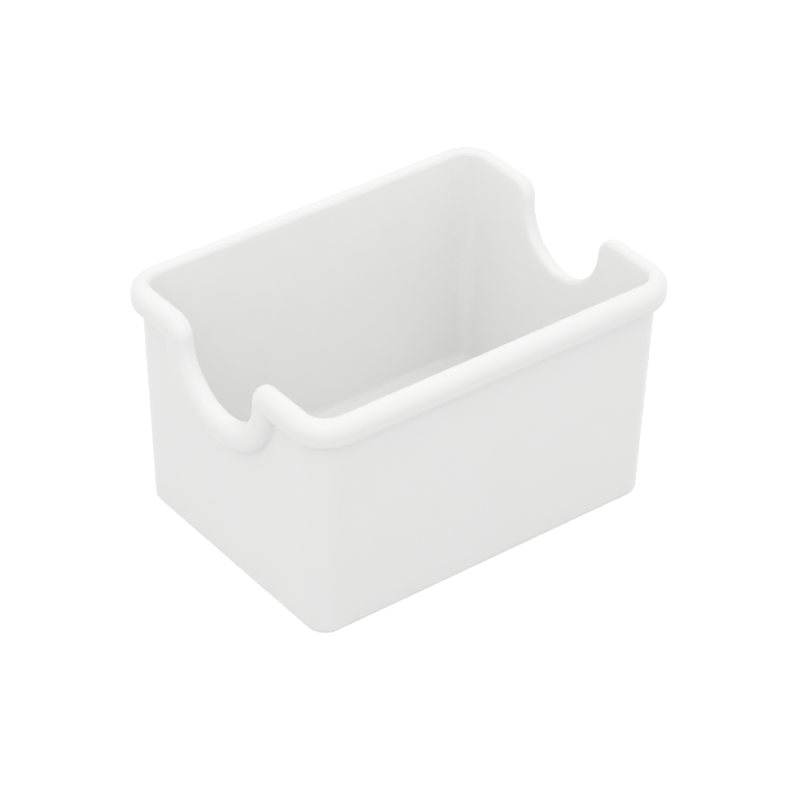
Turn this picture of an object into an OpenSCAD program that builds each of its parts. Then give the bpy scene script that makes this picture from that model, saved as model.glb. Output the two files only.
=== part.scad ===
// Sugar packet holder: an open tub on a rounded rectangle, with a heavy rounded rim
// that dips through a finger notch in each end wall.
// It is one moulding with no joints. The base, the four walls and the four lengths of
// rim are drawn apart, and each meets its neighbours face to face.
// Length runs along X, width along Y and height along Z, with the origin under the
// middle of the base.

/* [Overall size] */
// Height from the table to the top of the rim
height = 50.8; // [40:0.1:70]
// Length over the outer faces of the end walls, at the table
base_length = 79.6; // [60:0.1:120]
// Width over the outer faces of the long walls, at the table
base_width = 57.6; // [50:0.1:90]
// Outer radius of the upright corners, at the table
corner_radius = 4.2; // [3.8:0.1:8]
// Outward lean of every wall, in degrees
draft_angle = 1.9; // [0.5:0.1:5]

/* [Shell] */
// Thickness of the walls
wall = 1.8; // [1.2:0.1:2.2]
// Thickness of the floor
floor_thickness = 2.2; // [1.8:0.1:4]
// Rounding under the outer edge of the floor
foot_radius = 1.3; // [0.4:0.1:1.7]
// Hollow rounding inside, between the floor and the walls
hollow_radius = 1.4; // [0.5:0.1:1.5]

/* [Rim] */
// Depth of the rim, measured down the wall
rim_drop = 5.8; // [5:0.1:7]
// How far the rim stands out from the wall
rim_overhang = 2.1; // [2:0.1:3]
// Rounding along the outer top edge of the rim
rim_top_radius = 2.6; // [1:0.1:3.2]
// Rounding along the outer lower edge of the rim
rim_lower_radius = 1.8; // [0.5:0.1:2]
// Rounding along the inner top edge of the rim
rim_inner_radius = 1.2; // [0.3:0.1:1.2]

/* [Finger notch] */
// Radius of the round bottom of the notch
notch_radius = 10.8; // [8:0.1:11.4]
// Radius of the shoulders, where the rim turns down into the notch
shoulder_radius = 4.3; // [3.4:0.1:4.4]

/* [Smoothness] */
// Number of sides on a full circle
$fn = 96; // [48:12:144]

/* [Hidden] */

shell_colour = [0.90, 0.90, 0.89];
rim_colour = [0.96, 0.96, 0.95];

// Axes of the upright corners, and the straight runs between them
corner_x = base_length / 2 - corner_radius;
corner_y = base_width / 2 - corner_radius;
long_run = 2 * corner_x;
short_run = 2 * corner_y;

// How far the outer faces lean out over the full height
lean = height * tan(draft_angle);

// Level at which the hollow rounding runs out into the walls, where base and walls meet
base_top = floor_thickness + hollow_radius * (1 - sin(draft_angle));

// Edge of the flat floor, measured outwards from the foot of a wall's outer face
hollow_x = inner_face(base_top) - hollow_radius * cos(draft_angle);

// Cross size of the rim, and where its level part ends on either side of the notch
rim_thickness = wall + rim_overhang;
shoulder_y = notch_radius + shoulder_radius;

// Rounding along the inner top edge, as far as the thickness of the rim leaves room for it
// beside the outer rounding and a narrow flat crown
crown_flat = wall / 20;
inner_rounding = min(rim_inner_radius, rim_thickness - rim_top_radius - crown_flat);

// Overlap between the parts of one solid, and overrun of a cut past the faces of a wall
overlap = floor_thickness / 10;
overrun = wall / 2;

// Outer face of a wall at a level above the table, measured outwards from its foot
function outer_face(level) = level * tan(draft_angle);

// Inner face of a wall at the same level
function inner_face(level) = outer_face(level) - wall / cos(draft_angle);

// Quarter of a disc that bulges to the right and upwards
module quarter_disc(radius) {
    intersection() {
        circle(radius);
        square(radius);
    }
}

// Outline of the edge of the base, with its outer rounding and the hollow one inside
module base_outline() {
    foot_x = outer_face(foot_radius) - foot_radius / cos(draft_angle);
    difference() {
        union() {
            polygon([
                [hollow_x, 0],
                [foot_x, 0],
                [foot_x, foot_radius],
                [foot_x + foot_radius * cos(draft_angle), foot_radius - foot_radius * sin(draft_angle)],
                [outer_face(base_top), base_top],
                [hollow_x, base_top]
            ]);
            translate([foot_x, foot_radius])
                mirror([0, 1])
                    quarter_disc(foot_radius);
        }
        translate([hollow_x, floor_thickness + hollow_radius])
            mirror([0, 1])
                quarter_disc(hollow_radius);
    }
}

// Outline of a wall between the base and the rim
module wall_outline() {
    top_x = lean - rim_drop * sin(draft_angle);
    top_level = height - rim_drop * cos(draft_angle);
    polygon([
        [inner_face(base_top), base_top],
        [outer_face(base_top), base_top],
        [top_x, top_level],
        [top_x - wall * cos(draft_angle), top_level + wall * sin(draft_angle)]
    ]);
}

// Outline of the rim on an upright wall: outwards from the wall's outer face along the
// first axis, up from the top of the rim along the second
module rim_outline() {
    flat_end = rim_overhang - rim_top_radius;
    translate([inner_rounding - wall, -rim_drop])
        square([wall - inner_rounding + flat_end, rim_drop]);
    translate([-wall, -rim_drop])
        square([wall + flat_end, rim_drop - inner_rounding]);
    translate([-wall, -rim_drop])
        square([rim_thickness - rim_lower_radius, rim_drop - rim_top_radius]);
    translate([-wall, rim_lower_radius - rim_drop])
        square([rim_thickness, rim_drop - rim_lower_radius - rim_top_radius]);
    translate([flat_end, -rim_top_radius])
        quarter_disc(rim_top_radius);
    translate([inner_rounding - wall, -inner_rounding])
        mirror([1, 0])
            quarter_disc(inner_rounding);
    translate([rim_overhang - rim_lower_radius, rim_lower_radius - rim_drop])
        mirror([0, 1])
            quarter_disc(rim_lower_radius);
}

// Tilts the rim's outline with the wall and lifts it to the top of the wall
module on_wall_top() {
    translate([lean, height])
        rotate(-draft_angle)
            children();
}

// Sweeps an outline along the back wall and round both of its corners
module along_back() {
    translate([0, base_width / 2, 0])
        rotate([90, 0, 90])
            linear_extrude(long_run, center = true)
                children();
    for (side = [0, 1])
        mirror([side, 0, 0])
            translate([corner_x, corner_y, 0])
                rotate_extrude(angle = 90)
                    translate([corner_radius, 0])
                        children();
}

// Sweeps an outline along the right wall, between its corners
module along_right() {
    translate([base_length / 2, 0, 0])
        rotate([90, 0, 0])
            linear_extrude(short_run, center = true)
                children();
}

// Lays solids on the leaning right wall, from the middle of its top edge: sideways along
// the first axis, up the wall along the second and outwards along the third
module on_right_wall() {
    translate([base_length / 2 + lean, 0, height])
        rotate([0, draft_angle, 0])
            rotate([90, 0, 90])
                children();
}

// Level run of the rim between a shoulder of the notch and the corner
module level_rim() {
    translate([corner_y, 0, 0])
        rotate([0, -90, 0])
            linear_extrude(corner_y - shoulder_y)
                rim_outline();
}

// Shoulder of the notch, where the rim turns down round a centre below its top
module shoulder() {
    translate([shoulder_y, -shoulder_radius, 0])
        rotate(90)
            rotate_extrude(angle = 90)
                intersection() {
                    translate([shoulder_radius, 0])
                        mirror([1, -1])
                            rim_outline();
                    translate([0, -wall - overrun])
                        square([shoulder_radius + overrun, rim_thickness + 2 * overrun]);
                }
}

// Dip of the rim, through the lower half of a circle round the middle of the notch
module dip() {
    translate([0, -shoulder_radius, 0])
        rotate(180)
            rotate_extrude(angle = 180)
                translate([notch_radius, 0])
                    rotate(90)
                        rim_outline();
}

// The rim of an end wall, with its dip through the notch
module end_rim() {
    for (side = [0, 1])
        mirror([side, 0, 0]) {
            level_rim();
            shoulder();
        }
    dip();
}

// An end wall, cut round below the dip of its rim
module end_wall() {
    difference() {
        along_right() wall_outline();
        on_right_wall()
            translate([0, -shoulder_radius, -wall - overrun])
                cylinder(h = wall + 2 * overrun, r = notch_radius + rim_drop);
    }
}

// The flat middle of the base, which runs a little way into its edge
module flat_floor() {
    floor_radius = corner_radius + hollow_x + overlap;
    linear_extrude(floor_thickness) {
        square([long_run + 2 * floor_radius, short_run], center = true);
        square([long_run, short_run + 2 * floor_radius], center = true);
        for (x = [-corner_x, corner_x], y = [-corner_y, corner_y])
            translate([x, y])
                circle(floor_radius);
    }
}

module base() {
    color(shell_colour) {
        for (turn = [0, 180])
            rotate(turn) {
                along_back() base_outline();
                along_right() base_outline();
            }
        flat_floor();
    }
}

module back_wall() {
    color(shell_colour)
        along_back() wall_outline();
}

module front_wall() {
    color(shell_colour)
        rotate(180)
            along_back() wall_outline();
}

module right_wall() {
    color(shell_colour)
        end_wall();
}

module left_wall() {
    color(shell_colour)
        rotate(180)
            end_wall();
}

module back_rim() {
    color(rim_colour)
        along_back() on_wall_top() rim_outline();
}

module front_rim() {
    color(rim_colour)
        rotate(180)
            along_back() on_wall_top() rim_outline();
}

module right_rim() {
    color(rim_colour)
        on_right_wall() end_rim();
}

module left_rim() {
    color(rim_colour)
        rotate(180)
            on_right_wall() end_rim();
}

base();
front_wall();
back_wall();
left_wall();
right_wall();
front_rim();
back_rim();
left_rim();
right_rim();
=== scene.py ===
"""Sugar packet holder: one white moulding with a rounded rim that dips through two finger notches.

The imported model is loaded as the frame, the moulding is modelled over it as one smooth
closed shell, and the stage, the lamps and the camera of the photograph are added.
All lengths are in metres and all angles in degrees.
"""
import logging
import math
from dataclasses import dataclass, field
from enum import Enum

import bmesh
import bpy
from mathutils import Matrix, Vector


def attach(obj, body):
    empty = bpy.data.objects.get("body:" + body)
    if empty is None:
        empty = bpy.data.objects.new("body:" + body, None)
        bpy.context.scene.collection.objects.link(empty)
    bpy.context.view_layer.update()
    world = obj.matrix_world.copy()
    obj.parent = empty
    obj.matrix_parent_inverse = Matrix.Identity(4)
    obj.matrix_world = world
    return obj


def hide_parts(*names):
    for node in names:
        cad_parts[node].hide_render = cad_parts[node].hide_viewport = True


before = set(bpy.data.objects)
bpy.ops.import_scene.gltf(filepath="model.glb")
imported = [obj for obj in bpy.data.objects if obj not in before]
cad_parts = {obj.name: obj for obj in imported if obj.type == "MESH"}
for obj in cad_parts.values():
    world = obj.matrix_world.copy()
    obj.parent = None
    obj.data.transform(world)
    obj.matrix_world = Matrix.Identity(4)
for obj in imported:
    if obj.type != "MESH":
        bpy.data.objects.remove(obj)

log = logging.getLogger("packet_holder")

MM = 0.001
DOWNWARD = -0.9
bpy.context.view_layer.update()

Point = tuple[float, float]


class Zone(Enum):
    """The CAD nodes that the moulding stands for, by the zone that each one is."""

    BASE = ("base",)
    WALLS = ("front_wall", "back_wall", "left_wall", "right_wall")
    RIM = ("front_rim", "back_rim", "left_rim", "right_rim")


def select_nothing() -> None:
    """Leaves object mode and deselects every object."""
    if bpy.context.mode != "OBJECT":
        bpy.ops.object.mode_set(mode="OBJECT")
    bpy.ops.object.select_all(action="DESELECT")


def arc(centre: Point, radius: float, start: float, end: float, steps: int) -> list[Point]:
    """Points along an arc.

    Args:
        centre: Middle of the arc.
        radius: Radius of the arc.
        start: Angle of the first point.
        end: Angle of the last point.
        steps: Number of steps between them.

    Returns:
        The points, both ends included.
    """
    angles = (math.radians(start + (end - start) * i / steps) for i in range(steps + 1))
    return [(centre[0] + radius * math.cos(a), centre[1] + radius * math.sin(a)) for a in angles]


@dataclass(frozen=True)
class MouldedPlastic:
    """White moulded plastic with a soft gloss.

    The colour barely varies from place to place, the gloss breaks up a little, and the
    surface has a faint waviness and the fine grain of a worn mould.
    """

    colour: tuple[float, float, float] = (0.960, 0.960, 0.957)
    warm_colour: tuple[float, float, float] = (0.957, 0.956, 0.951)
    roughness_low: float = 0.30
    roughness_high: float = 0.38
    cloud_size: float = 22 * MM
    wave_size: float = 9 * MM
    wave_height: float = 0.012 * MM
    grain_size: float = 0.35 * MM
    grain_height: float = 0.0012 * MM
    index: float = 1.5
    cloud_detail: float = 3.0
    gloss_detail: float = 4.0
    bump_detail: float = 2.0
    noise_low: float = 0.3
    noise_high: float = 0.7

    def build(self) -> bpy.types.Material:
        """Makes the material.

        Returns:
            The new material, for any piece of the moulding.
        """
        material = bpy.data.materials.new("white_moulded_plastic")
        material.use_nodes = True
        nodes, links = material.node_tree.nodes, material.node_tree.links
        shader = nodes["Principled BSDF"]
        shader.inputs["IOR"].default_value = self.index
        place = nodes.new("ShaderNodeTexCoord").outputs["Object"]

        def noise(size: float, detail: float) -> bpy.types.NodeSocket:
            """Adds a noise on the piece.

            Args:
                size: Real size of its largest patches.
                detail: Number of finer layers in it.

            Returns:
                The socket of its value.
            """
            texture = nodes.new("ShaderNodeTexNoise")
            texture.inputs["Scale"].default_value = 1 / size
            texture.inputs["Detail"].default_value = detail
            links.new(place, texture.inputs["Vector"])
            return texture.outputs["Fac"]

        def spread(value: bpy.types.NodeSocket, low: float, high: float) -> bpy.types.NodeSocket:
            """Spreads a noise over a range.

            Args:
                value: The noise.
                low: Lower end of the range.
                high: Upper end of the range.

            Returns:
                The socket of the result.
            """
            span = nodes.new("ShaderNodeMapRange")
            span.inputs["From Min"].default_value = self.noise_low
            span.inputs["From Max"].default_value = self.noise_high
            span.inputs["To Min"].default_value = low
            span.inputs["To Max"].default_value = high
            links.new(value, span.inputs["Value"])
            return span.outputs["Result"]

        clouds = noise(self.cloud_size, self.cloud_detail)
        mix = nodes.new("ShaderNodeMix")
        mix.data_type = "RGBA"
        mix.inputs["A"].default_value = (*self.colour, 1)
        mix.inputs["B"].default_value = (*self.warm_colour, 1)
        links.new(spread(clouds, 0.0, 1.0), mix.inputs["Factor"])
        links.new(mix.outputs["Result"], shader.inputs["Base Color"])
        gloss = noise(self.wave_size, self.gloss_detail)
        links.new(spread(gloss, self.roughness_low, self.roughness_high), shader.inputs["Roughness"])
        normal = None
        for size, height in ((self.wave_size, self.wave_height), (self.grain_size, self.grain_height)):
            bump = nodes.new("ShaderNodeBump")
            bump.inputs["Distance"].default_value = height
            links.new(noise(size, self.bump_detail), bump.inputs["Height"])
            if normal is not None:
                links.new(normal, bump.inputs["Normal"])
            normal = bump.outputs["Normal"]
        links.new(normal, shader.inputs["Normal"])
        return material


@dataclass
class Moulding:
    """The whole holder as one closed shell.

    It starts as the widest level outline of the rim. One side of that outline is inset and
    lowered, ring by ring, under the rim, down the outside and under the foot, and the
    other side over the rim and down the inside to the floor. Then the rim and the walls of
    both ends are bent down into their finger notches. Steps are counts along one rounding,
    wall or course, and a notch's steps are counted from its middle.
    """

    height: float = 50.8 * MM
    base_length: float = 79.6 * MM
    base_width: float = 57.6 * MM
    corner_radius: float = 4.2 * MM
    draft: float = 1.9
    wall: float = 1.8 * MM
    floor: float = 2.2 * MM
    foot_radius: float = 1.3 * MM
    hollow_radius: float = 1.4 * MM
    rim_drop: float = 5.8 * MM
    rim_overhang: float = 2.1 * MM
    rim_top_radius: float = 2.6 * MM
    rim_lower_radius: float = 1.8 * MM
    rim_inner_radius: float = 1.2 * MM
    rim_root_radius: float = 0.15 * MM
    notch_radius: float = 10.8 * MM
    shoulder_radius: float = 4.3 * MM
    corner_steps: int = 20
    level_steps: int = 10
    shoulder_steps: int = 14
    dip_steps: int = 26
    crease_step: int = 33
    crown_steps: int = 16
    lip_steps: int = 12
    root_steps: int = 4
    wall_steps: int = 12
    foot_steps: int = 8
    smooth_angle: float = 32
    finish: MouldedPlastic = field(default_factory=MouldedPlastic)

    def __post_init__(self) -> None:
        """Works out the values that follow from the sizes."""
        self.slack = self.rim_root_radius / 100
        angle = math.radians(self.draft)
        self.sin, self.cos, self.tan = math.sin(angle), math.cos(angle), math.tan(angle)
        self.lean = self.height * self.tan
        self.base_top = self.floor + self.hollow_radius * (1 - self.sin)
        self.corner_x = self.base_length / 2 - self.corner_radius
        self.corner_y = self.base_width / 2 - self.corner_radius
        self.half_steps = self.level_steps + self.shoulder_steps + self.dip_steps

    def upright(self, point: Point) -> Point:
        """Place of a point of the rim's outline in the upright section.

        Args:
            point: Distance out from the wall's outer face, and height over the rim's top.

        Returns:
            Distance out from the wall's foot, and height over the table.
        """
        out, up = point
        return (
            self.lean + out * self.cos + up * self.sin,
            self.height - out * self.sin + up * self.cos,
        )

    def leaning(self, point: Point) -> Point:
        """Place of a point of the upright section in the rim's outline.

        Args:
            point: Distance out from the wall's foot, and height over the table.

        Returns:
            Distance out from the wall's outer face, and height over the rim's top.
        """
        out, up = point[0] - self.lean, point[1] - self.height
        return (out * self.cos - up * self.sin, out * self.sin + up * self.cos)

    def wall_levels(self, top: float, steps: int) -> list[float]:
        """Levels of the rings down a wall, below its top.

        Args:
            top: Level where the wall meets the rim.
            steps: Number of levels.

        Returns:
            The levels, evenly spaced towards the top of the base.
        """
        return [top + (self.base_top - top) * i / self.wall_steps for i in range(1, steps + 1)]

    def outer_section(self) -> list[Point]:
        """Rings below the widest one.

        Returns:
            Their places under the rim, down the wall and round the foot.
        """
        lower, root = self.rim_lower_radius, self.rim_root_radius
        rim = [
            (self.rim_overhang, -self.rim_top_radius),
            *arc((self.rim_overhang - lower, lower - self.rim_drop), lower, 0, -90, self.lip_steps),
            *arc((root, -self.rim_drop - root), root, 90, 180, self.root_steps),
        ]
        foot_x = self.foot_radius * self.tan - self.foot_radius / self.cos
        foot = arc((foot_x, self.foot_radius), self.foot_radius, -self.draft, -90, self.foot_steps)
        levels = self.wall_levels(self.upright(rim[-1])[1], self.wall_steps)
        return [
            *(self.upright(p) for p in rim),
            *((z * self.tan, z) for z in levels),
            *foot,
        ]

    def inner_section(self) -> list[Point]:
        """The widest ring and those above and inside it.

        Returns:
            Their places over the rim, down the inside and round the floor.
        """
        top, inner = self.rim_top_radius, self.rim_inner_radius
        rim = [
            *arc((self.rim_overhang - top, -top), top, self.draft, 90, self.crown_steps),
            *arc((inner - self.wall, -inner), inner, 90, 180, self.lip_steps),
            (-self.wall, -self.rim_drop),
        ]
        across = self.wall / self.cos
        hollow = (
            self.base_top * self.tan - across - self.hollow_radius * self.cos,
            self.floor + self.hollow_radius,
        )
        levels = self.wall_levels(self.upright(rim[-1])[1], self.wall_steps - 1)
        return [
            *(self.upright(p) for p in rim),
            *((z * self.tan - across, z) for z in levels),
            *arc(hollow, self.hollow_radius, -self.draft, -90, self.foot_steps),
        ]

    def sink(self, start: Point, rings: list[Point], upward: bool) -> None:
        """Insets the selected face ring by ring, each at its own level.

        Args:
            start: Place of the face's edge in the upright section.
            rings: Places of the rings that follow.
            upward: Whether the face looks up.
        """
        for ring in rings:
            rise = ring[1] - start[1]
            bpy.ops.mesh.inset(
                thickness=max(start[0] - ring[0], 0.0),
                depth=rise if upward else -rise,
                use_even_offset=True,
            )
            start = ring

    def tub(self) -> bpy.types.Object:
        """Models the shell with a level rim.

        Returns:
            The new object, one closed mesh.
        """
        widest, *inner = self.inner_section()
        radius = self.corner_radius + widest[0]
        select_nothing()
        bpy.ops.mesh.primitive_plane_add(size=1, location=(0, 0, widest[1]))
        tub = bpy.context.object
        tub.scale = (2 * (self.corner_x + radius), 2 * (self.corner_y + radius), 1)
        bpy.ops.object.transform_apply(location=True, rotation=True, scale=True)
        bpy.ops.object.mode_set(mode="EDIT")
        bpy.ops.mesh.select_all(action="SELECT")
        bpy.ops.mesh.bevel(
            offset_type="OFFSET",
            offset=radius,
            segments=self.corner_steps,
            profile=0.5,
            affect="VERTICES",
        )
        self.cut_ends(tub)
        bpy.ops.mesh.extrude_region_move(TRANSFORM_OT_translate={"value": (0, 0, 0)})
        self.sink(widest, inner, upward=True)
        self.pick_face(tub, level=widest[1])
        self.sink(widest, self.outer_section(), upward=False)
        bpy.ops.object.mode_set(mode="OBJECT")
        return tub

    def cut_ends(self, tub: bpy.types.Object) -> None:
        """Cuts the two end edges of the first outline into the steps that a notch needs.

        Args:
            tub: The object in edit mode, with the outline as its only face.
        """
        bpy.ops.mesh.select_mode(type="EDGE")
        bpy.ops.mesh.select_all(action="DESELECT")
        mesh = bmesh.from_edit_mesh(tub.data)
        for edge in mesh.edges:
            run = edge.verts[0].co - edge.verts[1].co
            edge.select = abs(run.x) < self.rim_root_radius and abs(run.y) > self.corner_y
        mesh.select_flush_mode()
        bmesh.update_edit_mesh(tub.data)
        bpy.ops.mesh.subdivide(number_cuts=2 * self.half_steps - 1)
        bpy.ops.mesh.select_mode(type="FACE")
        bpy.ops.mesh.select_all(action="SELECT")
        bpy.ops.mesh.dissolve_faces()

    def pick_face(self, tub: bpy.types.Object, level: float) -> None:
        """Selects only the largest face that looks down at a level.

        Args:
            tub: The object in edit mode.
            level: Height of the face over the table.
        """
        bpy.ops.mesh.select_all(action="DESELECT")
        bpy.ops.mesh.select_mode(type="FACE")
        mesh = bmesh.from_edit_mesh(tub.data)
        mesh.normal_update()
        down = [
            face
            for face in mesh.faces
            if face.normal.z < DOWNWARD
            and abs(face.calc_center_median().z - level) < self.rim_root_radius
        ]
        max(down, key=lambda face: face.calc_area()).select = True
        mesh.select_flush_mode()
        bmesh.update_edit_mesh(tub.data)

    def course(self, step: float, depth: float) -> Vector:
        """Course across an end wall of the line that runs inside the rim at a depth.

        The line keeps its depth below the rim's top through the dip, the shoulder and the
        level run. The shoulder tightens with depth. From its centre downwards the dip and
        the level run meet in a crease, which stays at one step.

        Args:
            step: Steps from the middle of the notch.
            depth: Depth below the rim's top, square to the course.

        Returns:
            The place on the wall, sideways and up.
        """
        centre = -self.shoulder_radius
        shoulder = self.notch_radius + self.shoulder_radius
        radius = self.notch_radius + depth
        bend = max(self.shoulder_radius - depth, 0.0)
        open_share = min(bend / (self.shoulder_radius - self.rim_top_radius), 1.0)
        start = self.crease_step - open_share * (self.crease_step - self.dip_steps)
        end = self.crease_step + open_share * (self.dip_steps + self.shoulder_steps - self.crease_step)
        below = max(depth - self.shoulder_radius, 0.0)
        meet = math.sqrt(radius**2 - below**2) if below > 0 else shoulder
        if step <= start:
            turn = math.atan2(meet, below) * step / start
            return Vector((radius * math.sin(turn), centre - radius * math.cos(turn)))
        if step < end:
            turn = math.radians(90 * (end - step) / (end - start))
            return Vector((shoulder - bend * math.sin(turn), centre + bend * math.cos(turn)))
        share = (step - end) / (self.half_steps - end)
        return Vector((meet + (self.corner_y - meet) * share, -depth))

    def bend_point(self, side: float, out: float, up: float) -> Point:
        """Where a point of a level end goes when its rim dips into the notch.

        Args:
            side: Place across the end wall.
            out: Distance out from the wall's outer face.
            up: Height over the rim's top, along the wall.

        Returns:
            The new place across the wall and height over the rim's top.
        """
        depth = -up
        step = abs(side) / self.corner_y * self.half_steps
        lowest = self.rim_drop + self.rim_root_radius
        place = self.course(step, min(depth, lowest))
        if depth > lowest:
            foot = Vector((abs(side), (out * self.sin + self.base_top - self.height) / self.cos))
            place = place.lerp(foot, (depth - lowest) / (-foot.y - lowest))
        return (math.copysign(place.x, side), place.y)

    def bend_ends(self, tub: bpy.types.Object) -> None:
        """Bends the rim and the wall of each end down into its finger notch.

        Args:
            tub: The shell with a level rim.
        """
        side_end = self.corner_y - self.slack
        lowest = self.base_top + self.slack
        for vertex in tub.data.vertices:
            x, y, z = vertex.co
            if abs(y) > side_end or abs(x) < self.corner_x or z < lowest:
                continue
            out, up = self.leaning((abs(x) - self.base_length / 2, z))
            side, up = self.bend_point(y, out, up)
            away, level = self.upright((out, up))
            vertex.co = (math.copysign(self.base_length / 2 + away, x), side, level)
        tub.data.update()

    def build(self) -> bpy.types.Object:
        """Models the moulding, dresses it and hangs it on the frame.

        Returns:
            The finished piece.
        """
        tub = self.tub()
        tub.name = tub.data.name = "moulding"
        self.bend_ends(tub)
        bpy.ops.object.mode_set(mode="EDIT")
        bpy.ops.mesh.select_all(action="SELECT")
        bpy.ops.mesh.remove_doubles(threshold=self.slack / 10)
        bpy.ops.mesh.normals_make_consistent(inside=False)
        bpy.ops.object.mode_set(mode="OBJECT")
        bpy.ops.object.shade_smooth_by_angle(angle=math.radians(self.smooth_angle))
        weigh = tub.modifiers.new("weigh", "WEIGHTED_NORMAL")
        weigh.keep_sharp = True
        bpy.ops.object.modifier_apply(modifier=weigh.name)
        tub.data.materials.clear()
        tub.data.materials.append(self.finish.build())
        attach(tub, "root")
        for zone in Zone:
            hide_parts(*zone.value)
        return tub


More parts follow.
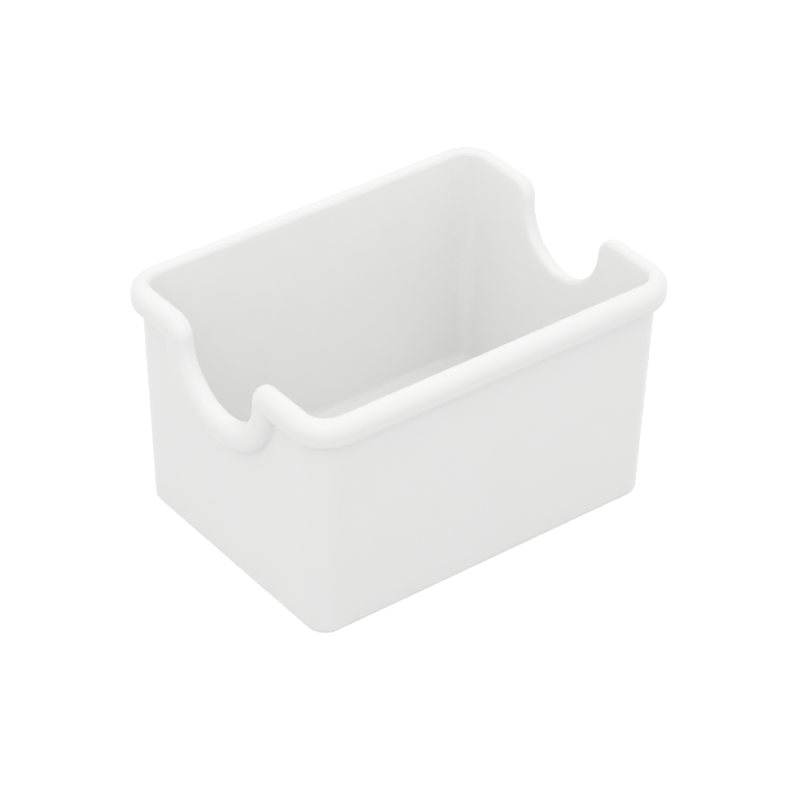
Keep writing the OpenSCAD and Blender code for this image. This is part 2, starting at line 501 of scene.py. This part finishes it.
@dataclass
class Stage:
    """Plain pale floor, soft studio light and the camera of the photograph.

    The beam is kept weak enough that the floor inside the holder doesn't clip to white from
    above. The sensor's width is in millimetres, which is Blender's unit for it.
    """

    floor_size: float = 6.0
    floor_colour: tuple[float, float, float] = (0.66, 0.66, 0.66)
    floor_glow: float = 0.6
    floor_roughness: float = 0.8
    floor_gloss: float = 0.0
    world_strength: float = 0.905
    seen_strength: float = 1.0
    key_place: tuple[float, float, float] = (-0.61, -0.59, 0.875)
    key_size: float = 0.9
    key_power: float = 1.15
    beam_place: tuple[float, float, float] = (0, 0, 350 * MM)
    beam_sides: tuple[float, float] = (60 * MM, 38 * MM)
    beam_spread: float = 7.0
    beam_power: float = 0.0011
    azimuth: float = -37.934
    elevation: float = 35.711
    roll: float = 1.010
    distance: float = 683.57 * MM
    focal_pixels: float = 3527.0
    picture_pixels: float = 800.0
    sensor_width: float = 36.0
    near_share: float = 0.05
    aim_level: float = 25.4 * MM
    aim_right: float = 0.367 * MM
    aim_up: float = -2.804 * MM

    def floor(self) -> None:
        """Lays the floor, which the camera sees as white with the holder's shadow on it.

        All other light falls on its plain grey paint, without the glow.
        """
        select_nothing()
        bpy.ops.mesh.primitive_plane_add(size=self.floor_size, location=(0, 0, 0))
        floor = bpy.context.object
        floor.name = "floor"
        material = bpy.data.materials.new("pale_floor")
        material.use_nodes = True
        nodes, links = material.node_tree.nodes, material.node_tree.links
        paint = nodes["Principled BSDF"]
        paint.inputs["Base Color"].default_value = (*self.floor_colour, 1)
        paint.inputs["Roughness"].default_value = self.floor_roughness
        paint.inputs["Specular IOR Level"].default_value = self.floor_gloss
        glow = nodes.new("ShaderNodeEmission")
        glow.inputs["Strength"].default_value = self.floor_glow
        both = nodes.new("ShaderNodeAddShader")
        pick = nodes.new("ShaderNodeMixShader")
        links.new(paint.outputs["BSDF"], both.inputs[0])
        links.new(glow.outputs["Emission"], both.inputs[1])
        links.new(self.seen(material.node_tree), pick.inputs["Fac"])
        links.new(paint.outputs["BSDF"], pick.inputs[1])
        links.new(both.outputs["Shader"], pick.inputs[2])
        links.new(pick.outputs["Shader"], nodes["Material Output"].inputs["Surface"])
        floor.data.materials.append(material)

    def seen(self, tree: bpy.types.NodeTree) -> bpy.types.NodeSocket:
        """Adds a value that is 1 for what is seen directly, in a gloss or through a piece.

        Args:
            tree: Node tree of a material or world.

        Returns:
            The value's socket.
        """
        path = tree.nodes.new("ShaderNodeLightPath")
        total = path.outputs["Is Camera Ray"]
        for ray in ("Is Glossy Ray", "Is Transmission Ray"):
            add = tree.nodes.new("ShaderNodeMath")
            add.use_clamp = True
            tree.links.new(total, add.inputs[0])
            tree.links.new(path.outputs[ray], add.inputs[1])
            total = add.outputs["Value"]
        return total

    def world(self) -> None:
        """Fills the room with even pale light, and shows it as white."""
        world = bpy.data.worlds.new("studio")
        world.use_nodes = True
        nodes, links = world.node_tree.nodes, world.node_tree.links
        light = nodes["Background"]
        light.inputs["Color"].default_value = (1, 1, 1, 1)
        light.inputs["Strength"].default_value = self.world_strength
        white = nodes.new("ShaderNodeBackground")
        white.inputs["Color"].default_value = (1, 1, 1, 1)
        white.inputs["Strength"].default_value = self.seen_strength
        pick = nodes.new("ShaderNodeMixShader")
        links.new(self.seen(world.node_tree), pick.inputs["Fac"])
        links.new(light.outputs["Background"], pick.inputs[1])
        links.new(white.outputs["Background"], pick.inputs[2])
        links.new(pick.outputs["Shader"], nodes["World Output"].inputs["Surface"])
        bpy.context.scene.world = world

    def lamp(self, name: str, place: Vector, size: float, power: float) -> bpy.types.Object:
        """Hangs a soft square lamp that looks at the holder.

        Args:
            name: Name of the lamp.
            place: Where it hangs.
            size: Side of its square.
            power: Power in watts.

        Returns:
            The lamp.
        """
        light = bpy.data.lights.new(name, "AREA")
        light.shape = "SQUARE"
        light.size = size
        light.energy = power
        lamp = bpy.data.objects.new(name, light)
        bpy.context.scene.collection.objects.link(lamp)
        lamp.location = place
        course = Vector((0, 0, self.aim_level)) - place
        lamp.rotation_euler = course.to_track_quat("-Z", "Y").to_euler()
        return lamp

    def beam(self) -> None:
        """Hangs a narrow, weak lamp that shines straight down into the open mouth."""
        length, width = self.beam_sides
        beam = self.lamp("beam", Vector(self.beam_place), length, self.beam_power)
        beam.data.shape = "RECTANGLE"
        beam.data.size_y = width
        beam.data.spread = math.radians(self.beam_spread)
        beam.rotation_euler = (0, 0, 0)

    def camera(self) -> None:
        """Sets the camera as the photograph's outline and edges place it."""
        turn, tilt, roll = (math.radians(a) for a in (self.azimuth, self.elevation, self.roll))
        back = Vector(
            (math.sin(turn) * math.cos(tilt), -math.cos(turn) * math.cos(tilt), math.sin(tilt))
        )
        right = Vector((math.cos(turn), math.sin(turn), 0))
        up = back.cross(right)
        right, up = (
            right * math.cos(roll) + up * math.sin(roll),
            up * math.cos(roll) - right * math.sin(roll),
        )
        aim = Vector((0, 0, self.aim_level)) + right * self.aim_right + up * self.aim_up
        lens = bpy.data.cameras.new("photo_camera")
        lens.sensor_fit = "HORIZONTAL"
        lens.sensor_width = self.sensor_width
        lens.lens = self.sensor_width * self.focal_pixels / self.picture_pixels
        lens.clip_start = self.distance * self.near_share
        camera = bpy.data.objects.new("photo_camera", lens)
        bpy.context.scene.collection.objects.link(camera)
        pose = Matrix((right, up, back)).transposed().to_4x4()
        pose.translation = aim + back * self.distance
        camera.matrix_world = pose
        bpy.context.scene.camera = camera

    def build(self) -> None:
        """Sets up the floor, the light and the camera."""
        self.floor()
        self.world()
        self.lamp("key", Vector(self.key_place), self.key_size, self.key_power)
        self.beam()
        self.camera()
        bpy.context.scene.view_settings.view_transform = "Standard"


def main() -> None:
    """Builds the holder and its stage."""
    logging.basicConfig(level=logging.INFO, format="%(name)s: %(message)s")
    moulding = Moulding().build()
    log.info("moulding: %d faces", len(moulding.data.polygons))
    Stage().build()
    log.info("stage, light and camera are in place")


if __name__ == "__main__":
    main()
